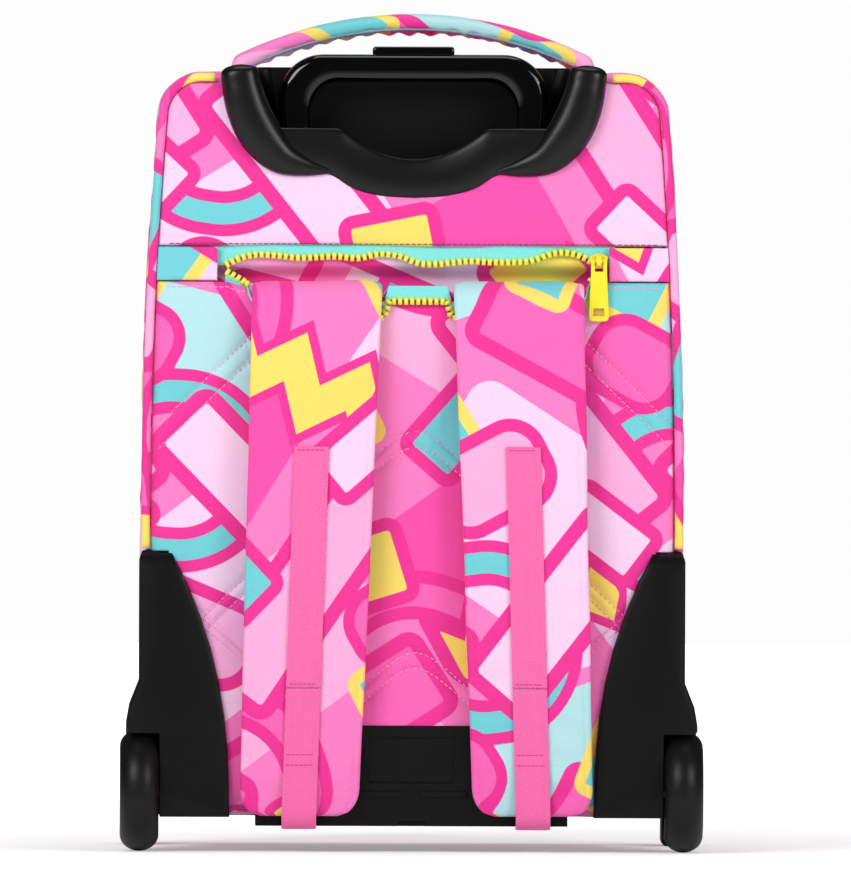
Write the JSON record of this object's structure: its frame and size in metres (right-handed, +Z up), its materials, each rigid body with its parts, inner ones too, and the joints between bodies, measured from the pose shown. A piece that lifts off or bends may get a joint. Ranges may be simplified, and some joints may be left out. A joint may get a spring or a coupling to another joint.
{
  "type": "wheeled backpack",
  "caption": "Soft printed children's trolley backpack with padded shoulder straps from a zipped back pocket, a telescopic handle in a moulded tray and two wheels in corner housings.",
  "frame": {"origin": "on the ground, under the middle of the bounding box", "axes": "+Z up; -Y is the back, which holds the straps, the handle tray and the wheels; +X is to the right seen from the back"},
  "size_m": [0.3364, 0.23, 0.4837],
  "materials": {
    "printed_fabric": "matt ripstop polyester with an all-over geometric print",
    "piping_fabric": "printed cloth sleeve over a cord",
    "webbing": "herringbone polyester webbing",
    "zip_tape": "woven zip tape with moulded teeth",
    "zip_plastic": "painted, semi-gloss",
    "satin_plastic": "fine satin moulding",
    "grip_plastic": "high gloss",
    "rail_metal": "satin drawn tube",
    "tyre": "solid rubber, satin"
  },
  "bodies": {
    "root": {"gusset": "printed_fabric", "front_panel": "printed_fabric", "yoke_panel": "printed_fabric", "pocket_panel": "printed_fabric", "zip_patch_left": "printed_fabric", "zip_patch_right": "printed_fabric", "strap_left": "printed_fabric", "strap_right": "printed_fabric", "carry_handle": "printed_fabric", "inner_back_wall": "printed_fabric", "piping_left": "piping_fabric", "piping_right": "piping_fabric", "piping_front": "piping_fabric", "webbing_upper_left": "webbing", "webbing_upper_right": "webbing", "webbing_lower_left": "webbing", "webbing_lower_right": "webbing", "main_zip": "zip_tape", "zip_tape_upper": "zip_tape", "zip_tape_lower": "zip_tape", "zip_slider": "zip_plastic", "handle_tray": "satin_plastic", "base_plate": "satin_plastic", "wheel_housing_left": "satin_plastic", "wheel_housing_right": "satin_plastic", "front_foot_left": "satin_plastic", "front_foot_right": "satin_plastic", "rail_outer_left": "rail_metal", "rail_outer_right": "rail_metal", "axle_left": "rail_metal", "axle_right": "rail_metal"},
    "stage": {"rail_middle_left": "rail_metal", "rail_middle_right": "rail_metal"},
    "grip": {"trolley_grip": "grip_plastic", "rail_inner_left": "rail_metal", "rail_inner_right": "rail_metal"},
    "button": {"grip_button": "grip_plastic"},
    "wheel_left": {"tyre_left": "tyre", "wheel_hub_left": "satin_plastic"},
    "wheel_right": {"tyre_right": "tyre", "wheel_hub_right": "satin_plastic"},
    "zip_pull": {"zip_pull": "zip_plastic"}
  },
  "joints": [
    {"name": "stage_slide", "type": "slide", "parent": "root", "child": "stage", "axis": [0, 0, 1], "range_m": [0, 0.26]},
    {"name": "grip_slide", "type": "slide", "parent": "stage", "child": "grip", "axis": [0, 0, 1], "range_m": [0, 0.26]},
    {"name": "button_press", "type": "slide", "parent": "grip", "child": "button", "axis": [0, 0, -1], "range_m": [0, 0.003], "stiffness_N_per_m": 400},
    {"name": "wheel_left_spin", "type": "hinge", "parent": "root", "child": "wheel_left", "pos_m": [-0.157, -0.08, 0.035], "axis": [1, 0, 0], "continuous": true},
    {"name": "wheel_right_spin", "type": "hinge", "parent": "root", "child": "wheel_right", "pos_m": [0.157, -0.08, 0.035], "axis": [1, 0, 0], "continuous": true},
    {"name": "zip_pull_swing", "type": "hinge", "parent": "root", "child": "zip_pull", "pos_m": [0.107, -0.0949, 0.3415], "axis": [-1, 0, 0], "range_deg": [0, 160]}
  ]
}
